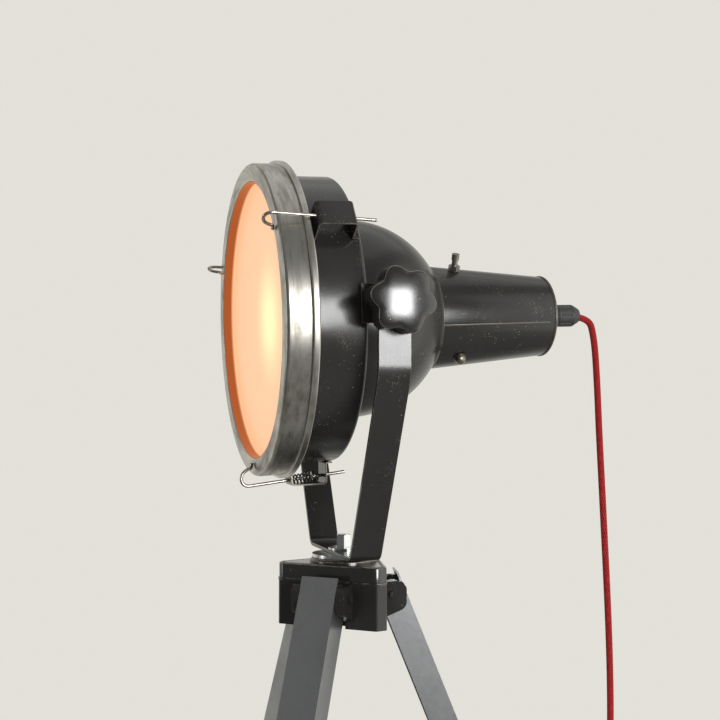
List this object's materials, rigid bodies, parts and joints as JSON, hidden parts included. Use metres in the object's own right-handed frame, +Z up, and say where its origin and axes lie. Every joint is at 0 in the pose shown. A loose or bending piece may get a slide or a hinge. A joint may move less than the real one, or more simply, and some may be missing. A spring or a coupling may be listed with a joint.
{
  "type": "tripod floor spotlight",
  "caption": "Floor lamp: steel drum-and-cone spot head with clipped front ring, in a flat-bar yoke that pans and tilts on a folding telescopic tripod, with a textile cord.",
  "frame": {"origin": "on the floor under the pan axis", "axes": "+Z up, +X along the tilt axis to the right-hand knob, the head shines towards -Y"},
  "size_m": [0.8934, 0.8689, 1.5459],
  "materials": {
    "raw_steel": "brushed, slightly stained",
    "zinc_steel": "bright zinc plate",
    "black_paint": "worn satin black",
    "lens": "frosted, lit from behind",
    "bulb": "frosted",
    "rubber": "matte",
    "aluminium": "satin anodised",
    "gloss_black": "polished black",
    "matt_black": "matte black",
    "porcelain": "glazed",
    "brass": "bright",
    "red_textile": "braided"
  },
  "bodies": {
    "stand": {"hub_cover": "gloss_black", "hub_body": "black_paint", "pan_bolt": "zinc_steel", "pan_nut": "zinc_steel", "pan_washer_upper": "zinc_steel", "pan_washer_lower": "zinc_steel", "cord_lower": "red_textile", "cord_coil": "red_textile", "cord_end": "red_textile", "plug_body": "matt_black", "plug_pins": "brass"},
    "yoke_arm": {"yoke": "black_paint", "cord_middle": "red_textile"},
    "head": {"bezel_ring": "raw_steel", "drum_shell": "black_paint", "dome_shell": "black_paint", "cone_housing": "black_paint", "cone_end_cap": "black_paint", "lens_glass": "lens", "lens_gasket": "rubber", "lens_retainer": "zinc_steel", "reflector": "aluminium", "bulb_globe": "bulb", "bulb_cap": "brass", "lampholder": "porcelain", "lampholder_bracket": "zinc_steel", "terminal_block": "matt_black", "gland_body": "matt_black", "gland_nut": "matt_black", "gland_seal": "rubber", "pivot_lug_right": "black_paint", "pivot_lug_left": "black_paint", "cord_upper": "red_textile", "cone_clamp_screw_1": "zinc_steel", "clip_bracket_1": "zinc_steel", "clip_spring_1": "zinc_steel", "cone_clamp_screw_2": "zinc_steel", "clip_bracket_2": "zinc_steel", "clip_spring_2": "zinc_steel", "cone_clamp_screw_3": "zinc_steel", "clip_bracket_3": "zinc_steel", "clip_spring_3": "zinc_steel"},
    "knob_right": {"tilt_knob_right": "gloss_black"},
    "knob_left": {"tilt_knob_left": "gloss_black"},
    "clip_1": {"clip_hook_1": "zinc_steel"},
    "clip_2": {"clip_hook_2": "zinc_steel"},
    "clip_3": {"clip_hook_3": "zinc_steel"},
    "leg_1": {"leg_upper_1": "aluminium", "leg_clamp_1": "matt_black"},
    "leg_1_tube": {"leg_lower_1": "aluminium", "leg_foot_1": "rubber"},
    "leg_2": {"leg_upper_2": "aluminium", "leg_clamp_2": "matt_black"},
    "leg_2_tube": {"leg_lower_2": "aluminium", "leg_foot_2": "rubber"},
    "leg_3": {"leg_upper_3": "aluminium", "leg_clamp_3": "matt_black"},
    "leg_3_tube": {"leg_lower_3": "aluminium", "leg_foot_3": "rubber"}
  },
  "joints": [
    {"name": "pan", "type": "hinge", "parent": "stand", "child": "yoke_arm", "pos_m": [0, 0, 1.165], "axis": [0, 0, 1], "range_deg": [-75, 75], "deforming": ["cord_middle"]},
    {"name": "tilt", "type": "hinge", "parent": "yoke_arm", "child": "head", "pos_m": [0, 0, 1.4], "axis": [1, 0, 0], "range_deg": [-60, 27], "deforming": ["cord_upper"]},
    {"name": "tilt_knob_right_turn", "type": "hinge", "parent": "head", "child": "knob_right", "pos_m": [0.17, 0, 1.4], "axis": [1, 0, 0], "continuous": true},
    {"name": "tilt_knob_left_turn", "type": "hinge", "parent": "head", "child": "knob_left", "pos_m": [-0.17, 0, 1.4], "axis": [1, 0, 0], "continuous": true},
    {"name": "clip_1_pull", "type": "slide", "parent": "head", "child": "clip_1", "axis": [0.081, -0.9966, 0.0158], "range_m": [0, 0.009], "stiffness_N_per_m": 1200, "springref_m": -0.004, "deforming": ["clip_spring_1"]},
    {"name": "clip_2_pull", "type": "slide", "parent": "head", "child": "clip_2", "axis": [-0.0866, -0.9962, 0.0056], "range_m": [0, 0.009], "stiffness_N_per_m": 1200, "springref_m": -0.004, "deforming": ["clip_spring_2"]},
    {"name": "clip_3_pull", "type": "slide", "parent": "head", "child": "clip_3", "axis": [0, -0.9915, -0.1302], "range_m": [0, 0.009], "stiffness_N_per_m": 1200, "springref_m": -0.004, "deforming": ["clip_spring_3"]},
    {"name": "leg_1_fold", "type": "hinge", "parent": "stand", "child": "leg_1", "pos_m": [0.03419, -0.03078, 1.1279], "axis": [0.6691, 0.7431, 0], "range_deg": [0, 22]},
    {"name": "leg_1_slide", "type": "slide", "parent": "leg_1", "child": "leg_1_tube", "axis": [-0.2784, 0.2507, 0.9272], "range_m": [-0.02, 0.42]},
    {"name": "leg_2_fold", "type": "hinge", "parent": "stand", "child": "leg_2", "pos_m": [0.00956, 0.045, 1.1279], "axis": [-0.9781, 0.2079, 0], "range_deg": [0, 22]},
    {"name": "leg_2_slide", "type": "slide", "parent": "leg_2", "child": "leg_2_tube", "axis": [-0.0779, -0.3664, 0.9272], "range_m": [-0.02, 0.42]},
    {"name": "leg_3_fold", "type": "hinge", "parent": "stand", "child": "leg_3", "pos_m": [-0.04375, -0.01422, 1.1279], "axis": [0.309, -0.9511, 0], "range_deg": [0, 22]},
    {"name": "leg_3_slide", "type": "slide", "parent": "leg_3", "child": "leg_3_tube", "axis": [0.3563, 0.1158, 0.9272], "range_m": [-0.02, 0.42]}
  ]
}
